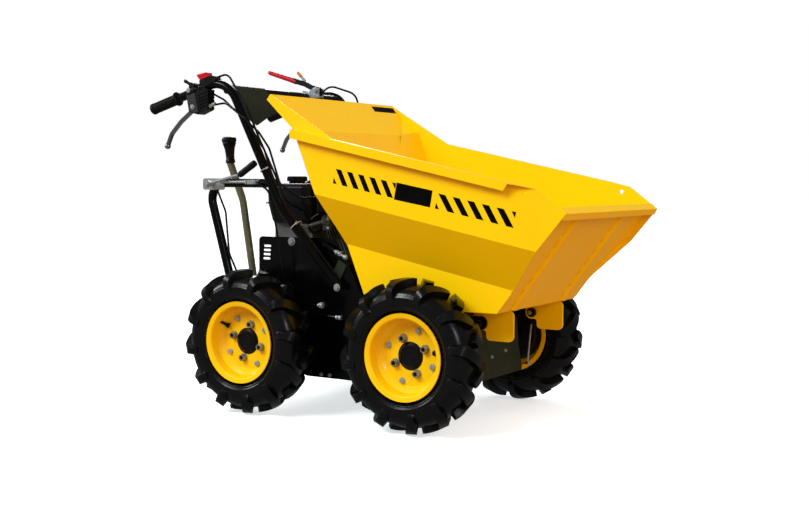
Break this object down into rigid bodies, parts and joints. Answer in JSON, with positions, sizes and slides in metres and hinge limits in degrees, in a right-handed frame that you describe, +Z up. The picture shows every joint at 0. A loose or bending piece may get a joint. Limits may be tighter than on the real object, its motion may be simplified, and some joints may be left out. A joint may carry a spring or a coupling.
{
  "type": "walk-behind four-wheel skip dumper",
  "caption": "Walk-behind petrol site dumper on four lugged wheels, with a folded steel skip that tips forward on a pivot and a bent tube handlebar with levers.",
  "frame": {"origin": "on the ground, under the middle of the overall length and width", "axes": "+X forward, +Y to the machine's left, +Z up"},
  "size_m": [1.3437, 0.718, 0.9975],
  "materials": {
    "yellow_paint": "semi gloss",
    "rim_yellow": "semi gloss",
    "black_steel": "satin powder coat",
    "grey_steel": "satin",
    "cast_black": "painted casting",
    "cast_grey": "cast",
    "zinc_steel": "zinc plated",
    "bright_metal": "polished",
    "black_plastic": "moulded",
    "red_plastic": "moulded",
    "soft_rubber": "matt",
    "tyre_rubber": "satin"
  },
  "bodies": {
    "chassis": {"chassis_frame": "black_steel", "side_panels": "black_steel", "engine_deck": "black_steel", "skid_plate": "black_steel", "front_plate": "grey_steel", "front_axle": "black_steel", "rear_gearbox": "cast_black", "drive_shaft": "black_steel", "skip_rests": "soft_rubber", "engine_block": "cast_grey", "engine_cylinder": "cast_grey", "fuel_tank": "black_plastic", "fuel_cap": "black_plastic", "recoil_starter": "black_plastic", "muffler": "cast_black", "air_cleaner": "black_plastic", "handlebar_tubes": "black_steel", "handlebar_cross_tube": "black_steel", "brace_tubes": "black_steel", "handlebar_cover": "grey_steel", "grips": "soft_rubber", "lever_housings": "black_plastic", "clutch_levers": "bright_metal", "engine_switch": "black_plastic", "stop_button": "red_plastic", "throttle_lever": "black_plastic", "drive_lever_mount": "zinc_steel", "drive_lever": "cast_black", "drive_lever_grip": "red_plastic", "gear_lever": "zinc_steel", "gear_knob": "soft_rubber", "lever_bracket": "zinc_steel", "tip_lock_lever": "zinc_steel", "clutch_cables": "black_steel", "switch_cable": "black_steel", "throttle_cable": "black_steel", "drive_lever_cable": "black_steel", "skip_lock_cable": "black_steel", "tip_cable": "black_steel"},
    "skip": {"skip_side_right": "yellow_paint", "skip_side_left": "yellow_paint", "skip_floor": "yellow_paint", "skip_rear_wall": "yellow_paint", "skip_back_board": "yellow_paint", "skip_front_wall": "yellow_paint", "skip_ribs": "yellow_paint", "skip_gussets": "yellow_paint", "pivot_brackets": "yellow_paint"},
    "wheel_front_right": {"tyre_front_right": "tyre_rubber", "rim_front_right": "rim_yellow", "hub_front_right": "cast_black"},
    "wheel_front_left": {"tyre_front_left": "tyre_rubber", "rim_front_left": "rim_yellow", "hub_front_left": "cast_black"},
    "wheel_rear_right": {"tyre_rear_right": "tyre_rubber", "rim_rear_right": "rim_yellow", "hub_rear_right": "cast_black"},
    "wheel_rear_left": {"tyre_rear_left": "tyre_rubber", "rim_rear_left": "rim_yellow", "hub_rear_left": "cast_black"}
  },
  "joints": [
    {"name": "roll_front_right", "type": "hinge", "parent": "chassis", "child": "wheel_front_right", "pos_m": [0.2465, -0.305, 0.202], "axis": [0, 1, 0], "continuous": true},
    {"name": "roll_front_left", "type": "hinge", "parent": "chassis", "child": "wheel_front_left", "pos_m": [0.2465, 0.305, 0.202], "axis": [0, 1, 0], "continuous": true},
    {"name": "roll_rear_right", "type": "hinge", "parent": "chassis", "child": "wheel_rear_right", "pos_m": [-0.2865, -0.305, 0.202], "axis": [0, 1, 0], "continuous": true},
    {"name": "roll_rear_left", "type": "hinge", "parent": "chassis", "child": "wheel_rear_left", "pos_m": [-0.2865, 0.305, 0.202], "axis": [0, 1, 0], "continuous": true},
    {"name": "skip_tip", "type": "hinge", "parent": "chassis", "child": "skip", "pos_m": [0.373, 0, 0.281], "axis": [0, 1, 0], "range_deg": [0, 75]}
  ]
}
